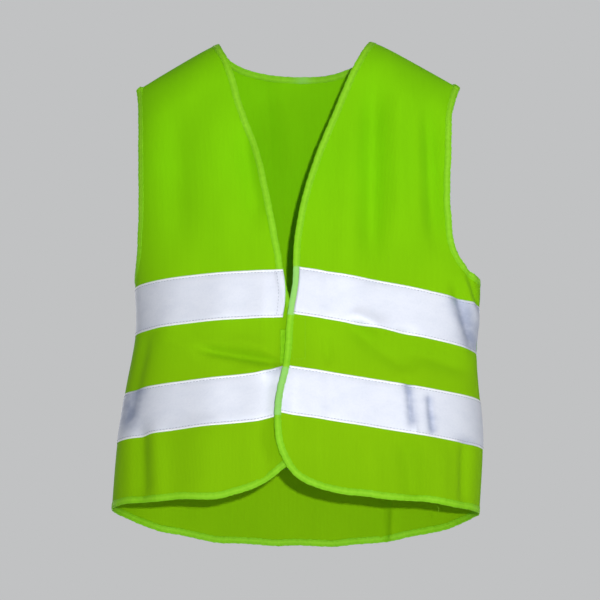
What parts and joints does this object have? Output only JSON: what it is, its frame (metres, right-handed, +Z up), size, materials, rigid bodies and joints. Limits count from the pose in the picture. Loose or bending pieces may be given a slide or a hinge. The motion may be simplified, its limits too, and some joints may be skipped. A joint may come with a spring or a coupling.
{
  "type": "high visibility vest",
  "caption": "Child-size open-front safety vest in fluorescent knit, with reflective tapes round the body, bound edges and a hook-and-loop front closure.",
  "frame": {"origin": "midway between the two points where the neckline meets the shoulder seams, where the vest rests on shoulders or a hanger", "axes": "+Z up the vest, -Y is the way the front faces, +X towards the wearer's left"},
  "size_m": [0.3813, 0.1849, 0.5201],
  "materials": {
    "knit": "fluorescent yellow-green polyester knit, matt",
    "binding": "fluorescent yellow-green woven tape, slight sheen",
    "reflective_tape": "silver glass-bead retroreflective tape",
    "hook": "moulded nylon hooks",
    "loop": "brushed nylon loops",
    "label": "white satin ribbon, blank"
  },
  "bodies": {
    "vest_body": {"back_panel": "knit", "under_front_panel_side": "knit", "over_front_panel_side": "knit", "back_neck_binding": "binding", "under_neck_binding": "binding", "over_neck_binding": "binding", "under_hem_binding": "binding", "over_hem_binding": "binding", "back_hem_binding": "binding", "under_armhole_binding": "binding", "over_armhole_binding": "binding", "under_upper_tape_side": "reflective_tape", "under_lower_tape_side": "reflective_tape", "over_upper_tape_side": "reflective_tape", "over_lower_tape_side": "reflective_tape", "back_upper_tape": "reflective_tape", "back_lower_tape": "reflective_tape"},
    "under_front": {"under_front_panel_flap": "knit", "under_front_edge_binding": "binding", "under_upper_tape_flap": "reflective_tape", "under_lower_tape_flap": "reflective_tape", "loop_patch": "loop"},
    "over_front": {"over_front_panel_flap": "knit", "over_front_edge_binding": "binding", "over_upper_tape_flap": "reflective_tape", "over_lower_tape_flap": "reflective_tape", "hook_patch": "hook"},
    "label": {"care_label": "label"}
  },
  "joints": [
    {"name": "over_front_opens", "type": "hinge", "parent": "vest_body", "child": "over_front", "pos_m": [0.15, -0.0712, -0.491], "axis": [-0.2296, 0.0369, 0.9726], "range_deg": [0, 110]},
    {"name": "under_front_opens", "type": "hinge", "parent": "vest_body", "child": "under_front", "pos_m": [-0.15, -0.0701, -0.487], "axis": [-0.1973, -0.0431, -0.9794], "range_deg": [0, 78]},
    {"name": "label_flaps", "type": "hinge", "parent": "vest_body", "child": "label", "pos_m": [-0.165, 0.0025, -0.345], "axis": [0, 0, -1], "range_deg": [0, 120]}
  ],
  "couplings": [
    {"joint": "under_front_opens", "follows": "over_front_opens", "ratio": 0.7}
  ]
}
